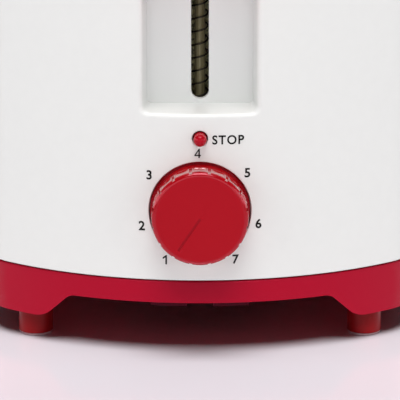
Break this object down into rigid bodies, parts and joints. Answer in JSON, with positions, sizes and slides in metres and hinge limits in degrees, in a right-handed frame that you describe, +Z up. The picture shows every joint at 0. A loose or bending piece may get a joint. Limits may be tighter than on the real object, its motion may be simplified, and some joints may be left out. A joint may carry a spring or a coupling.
{
  "type": "pop-up toaster",
  "caption": "Oval pop-up toaster with twin bread slots, a push-down lever in a tall pocket, a browning knob, a stop button, a red skirted base on feet and a crumb tray.",
  "frame": {"origin": "on the table, under the middle of the whole toaster's outline, lever handle and tray pull included", "axes": "+Z up; the end with the lever, knob and button faces -Y; the crumb tray comes out towards +Y; +X is to the right of someone facing the controls"},
  "size_m": [0.1758, 0.274, 0.188],
  "materials": {
    "white_shell": "glossy white moulded plastic",
    "red_plastic": "satin-gloss deep red moulded plastic",
    "soft_pad": "translucent soft pad",
    "brushed_trim": "fine-brushed stainless sheet",
    "galvanised_steel": "galvanised sheet, dull",
    "bright_sheet": "bright aluminised sheet",
    "bright_steel": "plated wire and bar",
    "spring_steel": "dark oiled spring wire",
    "mica": "pressed mica sheet",
    "resistance_ribbon": "oxidised resistance ribbon",
    "circuit_board": "paper-phenolic circuit board",
    "dark_moulding": "black technical moulding",
    "pale_moulding": "natural nylon",
    "copper_winding": "enamelled copper wire",
    "contact_brass": "spring brass strip",
    "black_rubber": "soft black bushing",
    "brown_insulation": "brown insulated lead",
    "blue_insulation": "blue insulated lead"
  },
  "bodies": {
    "body": {"base_pan": "red_plastic", "base_screws": "bright_steel", "board_components": "dark_moulding", "carriage_spring": "spring_steel", "chassis_front_plate": "galvanised_steel", "chassis_rear_plate": "galvanised_steel", "chassis_screws": "bright_steel", "contact_block": "dark_moulding", "contact_leaves": "contact_brass", "control_board": "circuit_board", "cord_bushing": "black_rubber", "foot_front_left": "red_plastic", "foot_front_right": "red_plastic", "foot_pads": "soft_pad", "foot_rear_left": "red_plastic", "foot_rear_right": "red_plastic", "guide_rod": "bright_steel", "heater_ribbon_centre_left": "resistance_ribbon", "heater_ribbon_centre_right": "resistance_ribbon", "heater_ribbon_left": "resistance_ribbon", "heater_ribbon_right": "resistance_ribbon", "housing_shell": "white_shell", "lead_live": "brown_insulation", "lead_neutral": "blue_insulation", "magnet_bobbin": "dark_moulding", "magnet_core": "bright_steel", "magnet_winding": "copper_winding", "mica_card_centre_left": "mica", "mica_card_centre_right": "mica", "mica_card_left": "mica", "mica_card_right": "mica", "potentiometer_body": "dark_moulding", "reflector_left": "bright_sheet", "reflector_right": "bright_sheet", "rod_clips": "bright_steel", "slot_surround": "brushed_trim", "stop_spring": "spring_steel", "stop_switch": "dark_moulding", "terminal_block": "dark_moulding"},
    "carriage": {"carriage_bracket": "galvanised_steel", "carriage_slider": "dark_moulding", "lever_arm": "bright_steel", "lever_handle": "red_plastic", "armature_plate": "bright_steel", "bread_rack_left": "bright_steel", "bread_rack_right": "bright_steel"},
    "knob": {"browning_knob": "red_plastic", "potentiometer_shaft": "pale_moulding"},
    "stop_button": {"stop_button": "red_plastic"},
    "guard_left_outer": {"bread_guard_left_outer": "bright_steel"},
    "guard_left_inner": {"bread_guard_left_inner": "bright_steel"},
    "guard_right_inner": {"bread_guard_right_inner": "bright_steel"},
    "guard_right_outer": {"bread_guard_right_outer": "bright_steel"},
    "tray": {"crumb_tray": "galvanised_steel", "crumb_tray_pull": "red_plastic"}
  },
  "joints": [
    {"name": "lever_slide", "type": "slide", "parent": "body", "child": "carriage", "axis": [0, 0, -1], "range_m": [0, 0.05], "stiffness_N_per_m": 120, "springref_m": -0.03, "deforming": ["carriage_spring"]},
    {"name": "browning_turn", "type": "hinge", "parent": "body", "child": "knob", "pos_m": [0, -0.1255, 0.0564], "axis": [0, 1, 0], "range_deg": [0, 292.5]},
    {"name": "stop_press", "type": "slide", "parent": "body", "child": "stop_button", "axis": [0, 1, 0], "range_m": [0, 0.0015], "stiffness_N_per_m": 400, "springref_m": -0.001, "deforming": ["stop_spring"]},
    {"name": "guard_left_outer_close", "type": "slide", "parent": "body", "child": "guard_left_outer", "axis": [1, 0, 0], "range_m": [0, 0.005]},
    {"name": "guard_left_inner_close", "type": "slide", "parent": "body", "child": "guard_left_inner", "axis": [-1, 0, 0], "range_m": [0, 0.005]},
    {"name": "guard_right_inner_close", "type": "slide", "parent": "body", "child": "guard_right_inner", "axis": [1, 0, 0], "range_m": [0, 0.005]},
    {"name": "guard_right_outer_close", "type": "slide", "parent": "body", "child": "guard_right_outer", "axis": [-1, 0, 0], "range_m": [0, 0.005]},
    {"name": "crumb_tray_pull_out", "type": "slide", "parent": "body", "child": "tray", "axis": [0, 1, 0], "range_m": [0, 0.19]}
  ],
  "couplings": [
    {"joint": "guard_left_outer_close", "follows": "lever_slide", "ratio": 0.1},
    {"joint": "guard_left_inner_close", "follows": "lever_slide", "ratio": 0.1},
    {"joint": "guard_right_inner_close", "follows": "lever_slide", "ratio": 0.1},
    {"joint": "guard_right_outer_close", "follows": "lever_slide", "ratio": 0.1}
  ]
}
